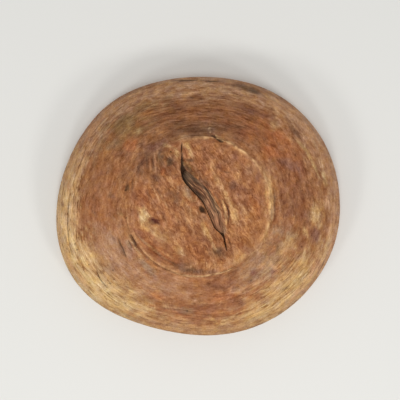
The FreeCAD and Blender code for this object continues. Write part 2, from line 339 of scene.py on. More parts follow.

# Stains, flecks and pale spots, and some bands of painted shade and painted highlight by the foot's edge and
# in the check: middle in plan, half-length, half-width, direction, colour and strength.
# Upper and left are as the camera sees them: -Y and -X.
PATCHES = [
    # upper left of the foot: darker, with upright streaks
    (-45, -45, 26, 20, -35, "umber", 0.5), (-52, -62, 14, 6, -15, "umber", 0.5),
    (-42, -52, 9, 4, 90, "umber", 0.55), (-31, -49, 5, 3.4, 90, "coal", 0.7),
    (-48, -50, 10, 1.4, 88, "peach", 0.6), (-53, -46, 9, 1.2, 88, "peach", 0.5),
    (-45, -64, 6, 1.4, 88, "peach", 0.55), (-57, -50, 10, 1.5, 85, "umber", 0.7),
    (-50, -48, 11, 1.4, 92, "umber", 0.7), (-66, -44, 9, 1.3, 88, "umber", 0.6),
    (-69, -30, 9, 1.2, 90, "peach", 0.4), (-73, -24, 10, 1.4, 90, "umber", 0.55),
    (-44, -46, 10, 1.4, 88, "tan", 0.5), (-39, -50, 9, 1.6, 86, "umber", 0.6),
    (-62, -38, 9, 1.5, 90, "umber", 0.5), (-34, -68, 5, 2.4, 30, "bone", 0.5),
    (-38.5, -38.5, 4, 3, 60, "orange", 0.35), (-43, -56, 6, 4, 80, "smoke", 0.45),
    (-44, -33, 4, 3, 0, "umber", 0.5), (-60, -10, 11, 9, 90, "russet", 0.5),
    (-67, -14, 8, 6, 90, "chestnut", 0.35),
    # round the upper end of the check; the two coal streaks in its narrow slit are painted shade
    (-17.6, -49, 9, 2, 93, "coal", 0.8), (-16, -42, 5, 2.6, 75, "coal", 0.6),
    (-12, -66, 7, 3, 50, "bone", 0.55), (-8, -58, 6, 2.6, 60, "straw", 0.5),
    (-24, -60, 7, 2.6, 60, "straw", 0.5), (-11, -45, 7, 3.2, 30, "olive", 0.6),
    (-9, -51, 6, 2, 0, "smoke", 0.6), (-17, -75, 12, 4, 0, "tan", 0.5),
    (-8, -39, 10, 2.8, 42, "coal", 0.65), (3, -31, 9, 2, 45, "umber", 0.65),
    (11, -25, 8, 1.8, 50, "umber", 0.55), (0, -38, 10, 2.4, 40, "umber", 0.45),
    (8, -52, 13, 7, 90, "chestnut", 0.6), (28, -48, 8, 5, 30, "chestnut", 0.6),
    (40, -55, 9, 4, 60, "plum", 0.45),
    # right half of the foot
    (45, -14, 15, 11, 40, "plum", 0.5), (38, -24, 7, 5, 0, "umber", 0.45), (67, -34, 9, 4, 78, "plum", 0.6),
    (57, -18, 6, 4, 0, "chestnut", 0.5), (58, -6, 7, 2.2, 115, "russet", 0.55),
    (22, -44, 6, 4, 20, "chestnut", 0.55), (31, -38, 5, 1.4, 10, "umber", 0.55),
    (46, -11, 2.6, 2, 0, "mauve", 0.6), (45, -36, 10, 5, 88, "tan", 0.45), (57, -42, 8, 4, 75, "tan", 0.4),
    (49, 6, 17, 6, 84, "tan", 0.45), (66, 5, 15, 4, 88, "orange", 0.3), (60, 35, 10, 4, 110, "tan", 0.4),
    (16, -42, 13, 3.4, 70, "tan", 0.55), (24, -25, 15, 3.4, 65, "tan", 0.6),
    (32, -10, 11, 2.6, 65, "straw", 0.45), (40, 8, 14, 4, 80, "straw", 0.5),
    (60, 25, 28, 16, 100, "amber", 0.5), (22, -9, 9, 1.5, 58, "umber", 0.6),
    (27.5, 2, 10, 1.2, 74, "umber", 0.6), (33.8, 5, 10, 1.5, 80, "wine", 0.55),
    (30.2, 2, 9, 1.1, 72, "straw", 0.65), (31, 13, 8, 1.2, 88, "straw", 0.55),
    (37, 6, 10, 1.2, 82, "straw", 0.5), (40, 10, 10, 1.8, 92, "straw", 0.45),
    # The straw, tan and peach bands round the right of the foot's edge are painted highlight on its bevel,
    # with pale wear; the umber line at x 85.5 is painted shade in the corner with the wall.
    (28, 24, 10, 2.6, 95, "ash", 0.6), (80, -4, 32, 5, 90, "straw", 0.5),
    (77, -30, 12, 3, 68, "straw", 0.45), (67, -46, 9, 2, 52, "tan", 0.5),
    (76, 30, 12, 3, 108, "straw", 0.45), (69, 44, 9, 2.2, 125, "peach", 0.5),
    (77.5, -4, 26, 0.9, 91, "russet", 0.6), (81.5, 0, 24, 0.8, 89, "umber", 0.45),
    (85.5, -2, 28, 1, 90, "umber", 0.65), (42, 54, 15, 6, -40, "tan", 0.55),
    (46, 60, 10, 3.6, -40, "straw", 0.45), (20, 52, 10, 6, 0, "umber", 0.6),
    (20, 50, 5, 4, 0, "smoke", 0.4),
    # left half of the foot
    (-30, -28, 8, 3, 60, "tan", 0.55), (-47, -15, 12, 1.3, 62, "tan", 0.5),
    (-42, -13, 12, 1.2, 62, "umber", 0.45), (-37, -6, 11, 1.3, 64, "tan", 0.45),
    (-55, -14, 9, 1.2, 80, "umber", 0.4), (-22, -4, 6, 2.6, 60, "umber", 0.45),
    (-8, 8, 11, 6, 62, "tan", 0.5), (-14, 19, 7, 3.4, 70, "chestnut", 0.6), (-24, 12, 9, 2, 62, "tan", 0.4),
    (15, 38, 12, 2, 64, "straw", 0.5), (8, 27, 12, 3.6, 65, "straw", 0.5),
    (18, 30, 13, 2.4, 62, "umber", 0.35), (3, 10, 9, 4, 55, "umber", 0.45),
    (-12, -14, 11, 5.5, 40, "ash", 0.65), (-28, -12, 9, 6, 60, "umber", 0.5),
    (-12, 10, 18, 6, 70, "tan", 0.45), (-65, 7, 8, 2, 75, "straw", 0.35),
    (-60, 9, 8.5, 5.4, 75, "bone", 0.95), (-62, 9, 8, 1.1, 62, "amber", 0.55),
    (-57, 12, 7, 1, 60, "tan", 0.55), (-49, 17, 5.5, 4.4, 10, "wine", 1),
    (-46, 18, 5, 3.4, 20, "wine", 0.85), (-40, 27, 16, 7, 20, "tan", 0.55),
    (-57, 25, 11, 4.5, 38, "straw", 0.5), (-44, 33, 12, 5, 32, "straw", 0.5),
    (-31, 40, 10, 4, 20, "tan", 0.6), (-52, 33, 10, 1.4, 38, "russet", 0.5),
    (-40, 38, 9, 1.2, 30, "russet", 0.5), (-66, 30, 10, 6, 45, "russet", 0.65),
    (-65, 30, 5, 3, 40, "mauve", 0.4), (-48, 48, 20, 6, 38, "russet", 0.6),
    (-30, 60, 18, 4, 25, "russet", 0.45), (-20, 49, 8, 5, 20, "straw", 0.6),
    (-62, 37, 12, 1.5, 42, "umber", 0.6), (-52, 45, 14, 1.6, 40, "umber", 0.55),
    (-40, 55, 14, 1.4, 34, "umber", 0.55), (-30, 62, 12, 1.4, 26, "umber", 0.5),
    (-57, 41, 11, 1.2, 42, "tan", 0.55), (-46, 50, 12, 1.2, 37, "tan", 0.5),
    (-35, 53, 10, 1.2, 32, "tan", 0.5), (-3, 54, 10, 6, 90, "russet", 0.35),
    # The umber and coal bands just inside the foot's lower edge are painted shade in the scribed groove.
    (-14, 68, 15, 5, 10, "umber", 0.7), (-8, 71, 9, 3, 6, "coal", 0.35), (8, 73, 20, 3, -2, "umber", 0.65),
    (-10, 67, 4, 2, 0, "mauve", 0.4), (8, 64, 14, 5, 10, "amber", 0.6), (-80, -21, 3, 4, 0, "smoke", 0.7),
    # the wall, from the upper left round by the top
    (-50, -67, 15, 6, -25, "plum", 0.65), (-66, -52, 9, 5, -50, "chestnut", 0.5),
    (-100, -40, 10, 7, 80, "chestnut", 0.35), (-62, -88, 8, 3, -20, "olive", 0.45),
    (-75, -70, 10, 7, -30, "orange", 0.65), (-90, -58, 9, 3, -30, "chestnut", 0.5),
    (-85, -98, 11, 6, -40, "olive", 0.5), (-70, -86, 9, 5, -10, "straw", 0.45),
    (-58, -106, 12, 4, 0, "orange", 0.35), (-28, -116, 9, 4, 0, "plum", 0.5),
    # The two long umber bands just outside the foot's upper edge are darker wood and painted shade beside the
    # foot's step.
    (0, -86, 27, 4, 0, "umber", 0.7), (32, -90, 36, 3, 3, "umber", 0.5),
    (13.4, -87.4, 1.5, 1, 90, "sand", 0.55), (13.8, -83, 1.3, 0.9, 90, "sand", 0.5),
    (20.5, -79.4, 1.6, 0.9, 20, "bone", 0.55), (26, -73, 4, 2.4, 20, "coal", 0.7),
    (60, -137, 13, 4, 20, "smoke", 0.6), (66, -134, 6, 2.6, 30, "coal", 0.35),
    (46, -141, 11, 2.6, 6, "umber", 0.6), (16, -147, 16, 1.2, 3, "coal", 0.5),
    (-12, -148.3, 18, 1.2, 0, "coal", 0.5), (62, -108, 22, 5.5, 12, "plum", 0.8),
    (85, -62, 15, 8, 15, "orange", 0.5), (90, -80, 13, 6, 10, "orange", 0.4),
    (86, -92, 7, 5, 60, "straw", 0.4),
    # the right wall
    (103, -46, 18, 6, 12, "plum", 0.7), (100, 0, 14, 12, 0, "chestnut", 0.5),
    (118, -71, 9, 2.2, 42, "straw", 0.65), (128, -59, 10, 2.4, 60, "straw", 0.7),
    (136, -42, 11, 2.6, 68, "straw", 0.75), (147, -33, 10, 3, 72, "straw", 0.55),
    (112, -86, 12, 3, 50, "umber", 0.55), (137, 10, 13, 9, 82, "straw", 0.75),
    (134, 33, 11, 6, 78, "plum", 0.85), (122, 30, 9, 3, 60, "straw", 0.5), (92, 28, 9, 5, 60, "ash", 0.4),
    (90, 46, 5, 4, 60, "umber", 0.6), (98, 46, 9, 7, 0, "tan", 0.5), (150, 50, 28, 4, 108, "sand", 0.5),
    # the lower wall, from the right to the left
    (62, 75, 5, 3, 0, "plum", 0.85), (87, 73, 8, 3, -10, "plum", 0.85), (85, 67, 9, 2.4, 45, "peach", 0.55),
    (72, 68, 7, 4, 0, "peach", 0.4), (101, 95, 5, 2.4, -20, "umber", 0.6),
    (88, 88, 20, 2.4, -28, "straw", 0.5), (98, 104, 24, 2.8, -28, "straw", 0.5),
    (55, 128, 27, 4, -8, "straw", 0.5), (22, 88, 26, 8, 0, "chestnut", 0.45),
    (30, 102, 20, 5, 0, "orange", 0.35), (-12, 120, 9, 5, 0, "ash", 0.6),
    (-45, 102, 13, 4, 10, "orange", 0.35), (-75, 106, 26, 3, 8, "umber", 0.3),
    (-74, 38, 9, 1.4, 62, "smoke", 0.35), (-69, 46, 10, 1.6, 58, "smoke", 0.35),
    (-78, 44, 9, 2, 62, "ash", 0.6), (-93, 44, 15, 10, 62, "mauve", 0.5),
    (-88, 40, 7, 1.6, 66, "umber", 0.6), (-96, 36, 6, 1.4, 70, "umber", 0.5),
    (-84, 52, 7, 1.4, 58, "umber", 0.5), (12, 66, 30, 4, 0, "tan", 0.35), (-72, 44, 9, 1, 60, "bone", 0.5),
    (-66, 52, 9, 1, 55, "bone", 0.45), (-98, -12, 3, 3, 90, "umber", 0.4),
    (-86, 8, 2.4, 3.6, 90, "olive", 0.45), (-58, 67, 15, 4, 45, "ash", 0.55),
    (-145, 76, 22, 4, 52, "peach", 0.55), (-158, -3, 4, 3, 60, "chestnut", 0.7),
]


# The same inside the hollow: a darker oiled floor round the pith, and sapwood towards the rim
HOLLOW_PATCHES = [
    (2, 0, 46, 36, 30, "chestnut", 0.45), (-48, 40, 34, 14, 40, "umber", 0.35),
    (60, -30, 28, 12, 110, "russet", 0.45), (40, 62, 24, 8, 150, "tan", 0.45),
    (-70, -50, 28, 9, -50, "tan", 0.5), (-20, -84, 34, 8, 0, "tan", 0.4),
    (92, 44, 20, 8, 110, "plum", 0.45), (-98, 30, 24, 8, 75, "olive", 0.45),
    (30, 28, 16, 3, -30, "umber", 0.35), (-26, -22, 18, 3, 60, "umber", 0.35),
    (5, 3, 7, 3, 50, "umber", 0.75), (5, 3, 3.4, 1.8, 50, "coal", 0.8), (14, 14, 12, 0.9, 52, "umber", 0.7),
    (-5, -9, 12, 0.9, 48, "umber", 0.7),
]

# What the colours are multiplied by, to make up for what the grain and the pores take away
FOOT_LEVEL = np.array([1.10, 1.12, 1.18])
WALL_LEVEL = np.array([1.17, 1.26, 1.38])


def linear(colour):
    """A colour of 0 to 255 display values as the linear values that a shader uses."""
    shares = np.array(colour) / 255.0
    return np.where(shares <= 0.04045, shares / 12.92, ((shares + 0.055) / 1.055) ** 2.4)


def stain(tones, share, colour):
    """Blends a colour into the tones by a share for each point."""
    tones += (linear(WOOD_COLOURS[colour]) - tones) * share[:, None]


def blotches(points, radius, on_foot, seed):
    """Soft noise from -1 to 1 that follows the flecks on the foot and the rings on the wall."""
    along, across = in_direction(points, FLECK_DIRECTION)
    flecked = np.stack([along / 15.0, across / 6.0, np.zeros(len(points))], axis=-1)
    ringed = np.stack([points[:, 0] / 17.0, points[:, 1] / 17.0, radius / 5.5], axis=-1)
    on_flecks, on_rings = (np.tanh(2.4 * wander(place, 1.0, seed, 4)) for place in (flecked, ringed))
    return on_flecks * on_foot + on_rings * (1.0 - on_foot)


def wood_tones(points, inside):
    """The wood's colour at each point before its grain, with painted light and shade on the gouge's scoops
    and by the foot's edge and the check: linear red, green and blue.
    """
    angle, radius = polar(points)
    ragged = 1.0 + 0.35 * wander(points, 4.0, 31, 3)
    drift = np.stack([wander(points, 15.0, 32, 3), wander(points, 15.0, 33, 3)], axis=-1)
    drifted_angle = angle + 14.0 * drift[:, 0]
    drifted_share = radius / widest_radius(angle) + 0.045 * drift[:, 1]
    strength = 1.0 - 0.55 * inside
    tones = np.tile(linear(WOOD_COLOURS["base"]), (len(points), 1))
    for *arc, colour, amount in ARCS:
        out = arc_distance(drifted_angle, drifted_share, *arc) * ragged
        stain(tones, amount * strength * smoothstep(1.5, 0.3, out), colour)
    for patches, face in ((PATCHES, inside < 0.5), (HOLLOW_PATCHES, inside > 0.5)):
        for x, y, half_length, half_width, direction, colour, amount in patches:
            near = face & (np.hypot(points[:, 0] - x, points[:, 1] - y) < 1.7 * half_length + 4.0)
            moved = points[near, :2] - (x, y) + min(5.0, 0.7 * half_width) * drift[near]
            out = oval_distance(moved[:, 0], moved[:, 1], half_length, half_width, direction) * ragged[near]
            patch = np.zeros(len(points))
            patch[near] = amount * smoothstep(1.4, 0.35, out)
            stain(tones, patch, colour)
    on_foot = smoothstep(END_GRAIN_RADIUS, 66.0, radius)
    tones *= WALL_LEVEL + (FOOT_LEVEL - WALL_LEVEL) * on_foot[:, None]
    # The ridges between the gouge's scoops are painted lighter and the scoops darker: painted light and shade
    # of their relief
    tones *= 1.0 + (0.32 * (scoop_ridges(points, inside) - 0.45) * inside)[:, None]
    for seed, gains in ((35, (0.10, 0.14, 0.16)), (36, (0.03, -0.02, -0.09))):
        tones *= 1.0 + (strength * blotches(points, radius, on_foot, seed))[:, None] * np.array(gains)
    return tones


# Where the year rings show as dark lines: as in ARCS, without a colour
LINED = [
    (175, 32, 0.87, 0.15, 1), (140, 26, 0.85, 0.18, 0.8), (-140, 24, 0.88, 0.13, 0.7),
    (-88, 46, 0.7, 0.2, 0.8), (42, 28, 0.8, 0.22, 0.8), (92, 40, 0.84, 0.16, 0.6), (0, 30, 0.94, 0.08, 0.5),
]

# Fine upright cuts left by the blade and the fibres it tore: as in PATCHES, without a colour
HATCHED = [
    (-42, 114, 22, 7, 0, 0.55), (27, 102, 7, 10, 0, 0.5), (6, 69, 28, 7, -3, 0.95),
    (-50, -50, 20, 14, 80, 0.55), (-110, 20, 16, 26, 90, 0.35), (60, 66, 14, 8, -30, 0.3),
]

# Where the wood is worn smooth and its figure is faint: as in ARCS, without a colour
CALM = [
    (150, 24, 0.64, 0.14, 0.6), (175, 36, 0.93, 0.13, 0.62), (138, 24, 0.86, 0.16, 0.5),
    (178, 24, 0.7, 0.14, 0.5), (45, 28, 0.88, 0.16, 0.35), (105, 24, 0.6, 0.1, 0.5),
    (40, 22, 0.58, 0.09, 0.5), (10, 40, 0.97, 0.07, 0.4), (70, 40, 0.95, 0.07, 0.35),
]

# Pale wear and painted highlight along the foot's edge, where its bevel catches the light: plan angle and
# half-turn, how far outside the edge, how wide, and strength
EDGE_WEAR_AND_HIGHLIGHT = [
    (2, 46, 0.3, 3.2, 0.3), (-62, 28, 0.5, 1.7, 0.7), (-105, 26, -0.5, 2, 0.18), (88, 24, 0.3, 1.1, 1),
    (132, 28, -1.8, 1.2, 0.45), (168, 16, 0.3, 0.9, 0.35),
]


def strongest_arc(arcs, least, angle, share_out, ragged):
    """The strength of the strongest of the arcs at each point."""
    strongest = np.full(len(angle), least)
    for *arc, strength in arcs:
        out = arc_distance(angle, share_out, *arc) * ragged
        strongest = np.maximum(strongest, strength * smoothstep(1.5, 0.4, out))
    return strongest


def surface_masks(points, inside):
    """Values from 0 to 1 that steer the wood's grain, and the year rings' radius in millimetres."""
    angle, radius = polar(points)
    widest = widest_radius(angle)
    share_out = radius / widest
    outside = inside < 0.5
    broad, fine = wander(points, 60.0, 41), wander(points, 14.0, 42, 2)
    ragged = 1.0 + 0.3 * fine
    rings = WIDEST_RADIUS * share_out + 0.15 * points[:, 2] + 3.5 * broad + 1.2 * fine
    lined = np.maximum(strongest_arc(LINED, 0.25, angle, share_out, ragged), 0.6 * inside)
    steep = smoothstep(40.0, 100.0, points[:, 2])
    calm = strongest_arc(CALM, 0.0, angle, share_out, ragged)
    calm = np.maximum(calm, np.maximum(0.55 * inside, 0.45 * steep))

    hatched = np.full(len(points), 0.08)
    for x, y, *oval, strength in HATCHED:
        out = oval_distance(points[:, 0] - x, points[:, 1] - y, *oval) * ragged
        hatched = np.maximum(hatched, strength * smoothstep(1.4, 0.5, out))

    past_edge = radius - foot_radius(angle)
    broken = np.clip(0.85 + 1.1 * wander(points, 5.0, 43, 2), 0.15, 1.3)
    # worn holds pale wear and painted highlight along the foot's edge
    worn = np.zeros(len(points))
    for middle, half_turn, out, wide, strength in EDGE_WEAR_AND_HIGHLIGHT:
        near = smoothstep(1.3, 0.7, np.abs(turn_between(angle, middle)) / half_turn)
        line = np.exp(-(((past_edge - out - 1.2 * fine) / wide) ** 2)) * broken
        worn = np.maximum(worn, np.where(outside, strength * near * line, 0.0))

    # Painted shade in the corner between the foot and the wall, but for the side where the foot's edge is
    # rubbed away
    from_corner = (radius - wall_base_radius(angle)) / 1.1
    kept = 1.0 - smoothstep(75.0, 35.0, np.abs(turn_between(angle, -150.0)))
    corner_shade = np.where(outside, kept * np.exp(-(from_corner ** 2)) * (0.22 + 0.4 * fine), 0.0)

    # The foot's end grain. Between -X and +Y, the wall's rings reach in over the foot's edge.
    crescent = smoothstep(50.0, 20.0, np.abs(turn_between(angle, 135.0)))
    disc_edge, disc_full = END_GRAIN_RADIUS - 22.0 * crescent, 62.0 - 20.0 * crescent
    disc = smoothstep(disc_edge, disc_full, radius + 4.0 * fine) * (1.0 - inside)
    return {
        "rings": rings, "lined": lined, "hatched": hatched, "worn": worn, "corner_shade": corner_shade,
        "within": inside * smoothstep(3.0, 11.0, widest - radius), "disc": disc, "calm": calm, "steep": steep,
    }


# ---- the bowl's skin
def bowl_rows():
    """The skin as rows of (radius, height) round the axis, from the foot's middle to the floor's middle.

    Returns the plan angles, the radii, the heights, and the number of rows on the outside.
    """
    angles = np.arange(COLUMNS) * 360.0 / COLUMNS
    foot, base, widest = foot_radius(angles), wall_base_radius(angles), widest_radius(angles)
    radii, heights = [], []

    def add(radius, height):
        radii.append(radius)
        heights.append(np.full(radius.shape, height))

    def rubbed(radius, height):
        rise = RUBBED_RISE * np.clip(RUBBED_REACH - foot + radius, 0.0, None) ** 2
        return np.maximum(height, rubbed_share(angles) * rise)

    for share in np.linspace(0.0, 1.0, FOOT_ROWS + 1)[1:]:
        add(foot * share, rubbed(foot * share, 0.0))
    for share in np.linspace(0.0, 1.0, BEVEL_ROWS + 1)[1:-1]:
        soft = share * share * (3.0 - 2.0 * share)
        radius = foot + (base - foot) * share
        add(radius, rubbed(radius, FOOT_HEIGHT * (soft + share) / 2.0))
    for turn in np.linspace(BASE_TURN, RIM_TURN, WALL_ROWS + 1):
        share = (math.cos(turn) - math.cos(BASE_TURN)) / (1.0 - math.cos(BASE_TURN))
        add(base + (widest - base) * share, WIDEST_Z - WALL_RISE * math.sin(turn))
    outer_edge, inner_edge = radii[-1], widest - RIM_THICKNESS
    middle, half = (outer_edge + inner_edge) / 2.0, (outer_edge - inner_edge) / 2.0
    for turn in np.linspace(0.0, math.pi, RIM_ROWS + 1)[1:-1]:
        side = math.copysign(abs(math.cos(turn)) ** 0.8, math.cos(turn))
        add(middle + half * side, HEIGHT - RIM_ROUNDING * (1.0 - math.sin(turn) ** 0.8))
    outside_rows = len(radii) - RIM_ROWS // 2
    add(inner_edge, HEIGHT - RIM_ROUNDING)
    last_turn = math.acos(HOLLOW_FLOOR_SHARE ** (HOLLOW_SQUARENESS / 2.0))
    wall_shares = np.cos(np.linspace(0.02, last_turn, HOLLOW_WALL_ROWS + 1)) ** (2.0 / HOLLOW_SQUARENESS)
    floor_shares = np.linspace(HOLLOW_FLOOR_SHARE, 0.0, HOLLOW_FLOOR_ROWS + 1)[1:-1]
    for share in np.concatenate([wall_shares, floor_shares]):
        fall = (1.0 - share ** HOLLOW_SQUARENESS) ** (1.0 / HOLLOW_SQUARENESS)
        add(inner_edge * share, HOLLOW_WIDEST_Z - (HOLLOW_WIDEST_Z - FLOOR_Z) * fall)
    return angles, np.array(radii), np.array(heights), outside_rows


def smooth_skin():
    """A bmesh of the bowl's closed skin in millimetres, before any mark, with a layer that is 1 inside."""
    angles, radii, heights, outside_rows = bowl_rows()
    turn = np.radians(angles)
    xs, ys = radii * np.cos(turn) - MIDDLE[0], radii * np.sin(turn) - MIDDLE[1]
    rows = np.stack([xs, ys, heights], axis=-1)
    skin = bmesh.new()
    inside = skin.verts.layers.float.new("inside")
    grid = []
    for number, row in enumerate(rows.tolist()):
        verts = [skin.verts.new(point) for point in row]
        for vert in verts:
            vert[inside] = 0.0 if number < outside_rows else 1.0
        grid.append(verts)
    bottom = skin.verts.new((-MIDDLE[0], -MIDDLE[1], 0.0))
    top = skin.verts.new((-MIDDLE[0], -MIDDLE[1], FLOOR_Z))
    top[inside] = 1.0
    for column in range(COLUMNS):
        after = (column + 1) % COLUMNS
        skin.faces.new((bottom, grid[0][after], grid[0][column]))
        skin.faces.new((top, grid[-1][column], grid[-1][after]))
        for low, high in zip(grid[:-1], grid[1:]):
            skin.faces.new((low[column], low[after], high[after], high[column]))
    return skin


def rim_line(angle):
    """A line across the rim in plan."""
    turn = math.radians(angle)
    out = widest_radius(angle) - np.array([2.0 * RIM_THICKNESS, -RIM_THICKNESS])
    return np.outer(out, [math.cos(turn), math.sin(turn)]) - MIDDLE


def divide_near_marks(skin):
    """Makes the skin finer where a check or a pinhole is cut."""
    layer = skin.verts.layers.float["inside"]
    for reach, on_foot in ((3.0, False), (1.5, True)):
        points = np.array([vert.co for vert in skin.verts])
        outside = np.array([vert[layer] for vert in skin.verts]) < 0.5
        nearest = np.full(len(points), 1e9)
        for line, width, _ in CHECKS:
            gap, _ = distance_to_line(points, curve_through(line, 4))
            nearest = np.minimum(nearest, gap - width)
        for x, y, radius in PINHOLES:
            nearest = np.minimum(nearest, np.hypot(points[:, 0] - x, points[:, 1] - y) - radius)
        if on_foot:
            for side in (NEAR_SIDE, FAR_SIDE):
                nearest = np.minimum(nearest, distance_to_line(points, side)[0] - 0.4)
        close = outside & (nearest < reach)
        for rim_angle, width, length in RIM_CHECKS:
            gap, _ = distance_to_line(points, rim_line(rim_angle))
            close |= (gap - width < reach) & (points[:, 2] > HEIGHT - length - 3.0)
        skin.verts.index_update()
        edges = [edge for edge in skin.edges if close[edge.verts[0].index] and close[edge.verts[1].index]]
        bmesh.ops.subdivide_edges(skin, edges=edges, cuts=1, use_grid_fill=True)


def scoop_ridges(points, inside):
    """How near each point of the hollow is to a ridge between two scoops of the gouge, and 0 outside."""
    ridges = np.zeros(len(points))
    places = (points * np.array([1.0, 1.0, 0.7]) / SCOOP_SIZE)[inside > 0.5]
    ridges[inside > 0.5] = [noise.voronoi(Vector(place))[0][0] for place in places.tolist()]
    return ridges


def uneven(points, inside, foot, past_edge):
    """How far each point lies in or out because the bowl is carved by hand and worn."""
    eased = 0.25 + 0.75 * smoothstep(0.0, 5.0, past_edge)  # the foot and its edge are flatter than the wall
    flatness = np.where(foot, 0.25, np.where(inside < 0.5, eased, 1.0))
    lift = -HOLLOWS_DEPTH * (1.0 + wander(points, 62.0, 1)) * flatness
    flats = points * np.array([1.0, 1.0, 2.2])
    lift -= np.where(foot, 0.10, FLATS_DEPTH) * (1.0 + wander(flats, 17.0, 2))
    lift -= CUTS_DEPTH * (1.0 + wander(points, 5.0, 3, 2))
    lift += SCOOP_RELIEF * np.clip(scoop_ridges(points, inside) ** 2, 0.0, 0.8) - 0.5 * inside
    on_rim = smoothstep(HEIGHT - 5.0, HEIGHT - 1.0, points[:, 2])
    return lift - on_rim * RIM_WEAR * (1.0 + wander(points, 24.0, 8, 2))


def edge_cut(angle, past_edge):
    """How deep the foot's face is cut by the scribed groove and by the wear of its edge."""
    share = 0.35 + 0.65 * smoothstep(-0.3, 0.7, np.cos(np.radians(angle - GROOVE_MIDDLE)))
    groove = GROOVE_DEPTH * share * np.exp(-((past_edge + GROOVE_INSET) ** 2))
    wear = EDGE_WEAR * np.exp(-((past_edge / 0.9) ** 2))
    return (1.0 - rubbed_share(angle)) * (groove + wear)


def small_marks(points, outside):
    """How deep each point is cut by the small checks, pinholes and rim checks, and how dark its painted shade
    is there.
    """
    under_rim = outside & (points[:, 2] < WIDEST_Z)
    frayed = 1.0 + 0.35 * wander(points, 2.2, 4)
    bend = 0.5 * wander(points, 4.0, 7, 2)
    deep, dark = np.zeros(len(points)), np.zeros(len(points))
    for line, width, depth in CHECKS:
        gap, along = distance_to_line(points, curve_through(line, 4))
        taper = np.sqrt(np.clip(4.0 * along * (1.0 - along), 0.0, 1.0))
        half_width = width * (0.55 + 0.45 * taper) * frayed
        cut = np.where(under_rim, taper * np.exp(-((gap / half_width) ** 2)), 0.0)
        deep += depth * cut
        dark = np.maximum(dark, cut * min(1.0, 0.35 + depth / 3.0))
    for x, y, size in PINHOLES:
        gap = np.hypot(points[:, 0] - x, points[:, 1] - y)
        cut = np.where(under_rim, np.exp(-((gap / size) ** 2)), 0.0)
        deep += 1.3 * size * cut
        dark = np.maximum(dark, 0.9 * cut)
    for rim_angle, width, length in RIM_CHECKS:
        gap = distance_to_line(points, rim_line(rim_angle))[0] + bend
        cut = smoothstep(HEIGHT - length, HEIGHT - 1.0, points[:, 2]) * np.exp(-((gap / (0.6 * width)) ** 2))
        deep += 1.6 * cut
        dark = np.maximum(dark, 0.8 * cut)
    return deep, dark


def check_and_pith(points, foot):
    offset = points[:, :2] - PITH_CENTRE
    pit = oval_distance(offset[:, 0], offset[:, 1], 1.35 * PITH_RADIUS, 0.85 * PITH_RADIUS, TONGUE_DIRECTION)
    pit_cut = np.where(foot, smoothstep(1.0, 0.35, pit * (1.0 + 0.45 * wander(points, 3.4, 5))), 0.0)
    far_gap = distance_to_line(points, FAR_SIDE)[0]
    side_gap = np.minimum(distance_to_line(points, NEAR_SIDE)[0], far_gap)
    within = inside_outline(points, CHECK_OUTLINE) & foot
    cut = np.where(within, smoothstep(0.1, 1.0, side_gap + 0.25 * wander(points, 1.6, 6)), 0.0)
    # Painted shade in the check, weaker beside its far side, and in the pith pit
    dark = 0.9 * cut * (1.0 - 0.7 * np.exp(-((far_gap / 1.2) ** 2)))
    y, (first, last) = points[:, 1], CHECK_ENDS
    past_end = np.maximum(smoothstep(first, first - 12.0, y), smoothstep(last, last + 10.0, y))
    cut *= 1.0 - 0.7 * past_end
    crumble = np.where(foot & ~within, 0.5 * np.exp(-((side_gap / 1.3) ** 2)), 0.0)
    return np.maximum(PITH_DEPTH * pit_cut, CHECK_DEPTH * cut) + crumble, np.maximum(pit_cut, dark)


def carve(points, inside):
    """How far each point moves along its normal, how dark its painted shade is in a mark, and whether it is
    on the foot.
    """
    outside = inside < 0.5
    angle, radius = polar(points)
    past_edge = radius - foot_radius(angle)
    foot = outside & (past_edge < 0.01)
    lift = uneven(points, inside, foot, past_edge) - np.where(foot, edge_cut(angle, past_edge), 0.0)
    lift[foot] -= lift[foot].max()  # the foot stands on its highest points
    marks_deep, marks_shade = small_marks(points, outside)
    check_deep, check_shade = check_and_pith(points, foot)
    return lift - marks_deep - check_deep, np.maximum(marks_shade, check_shade), foot


def placed(name, data):
    """A new object in the scene."""
    thing = bpy.data.objects.new(name, data)
    bpy.context.scene.collection.objects.link(thing)
    return thing


def keep(mesh, name, kind, field, values):
    """Keeps a value for each point of a mesh as a named attribute, which the materials read."""
    mesh.attributes.new(name, kind, "POINT").data.foreach_set(field, np.ravel(values))


def paint(mesh, tones):
    """Keeps a linear colour for each point of a mesh, as the attribute "tone"."""
    keep(mesh, "tone", "FLOAT_COLOR", "color", np.column_stack([tones, np.ones(len(tones))]))


def carved_body():
    skin = smooth_skin()
    divide_near_marks(skin)
    layer = skin.verts.layers.float["inside"]
    inside = np.array([vert[layer] for vert in skin.verts])
    skin.verts.layers.float.remove(layer)
    for face in skin.faces:
        face.smooth = True
    skin.normal_update()
    points = np.array([vert.co for vert in skin.verts])
    normals = np.array([vert.normal for vert in skin.verts])
    mesh = bpy.data.meshes.new("carved_body")
    skin.to_mesh(mesh)
    skin.free()
    lift, hollow, foot = carve(points, inside)
    normals[foot] = (0.0, 0.0, -1.0)
    moved = points + normals * lift[:, None]
    moved[:, 2] = np.clip(moved[:, 2], 0.0, HEIGHT)
    mesh.vertices.foreach_set("co", (moved * MM).ravel())
    # hollow is how dark the painted shade in the checks, pinholes and pith pit is
    masks = {**surface_masks(points, inside), "hollow": hollow}
    for name, values in masks.items():
        keep(mesh, name, "FLOAT", "value", values)
    paint(mesh, wood_tones(points, inside))
    mesh.update()
    piece = placed("carved_body", mesh)
    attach(piece, "root")
    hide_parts("bowl_body")
    return piece


# ---- the tongue of bark
TONGUE_STEPS = 200
TONGUE_STRIPS = 40

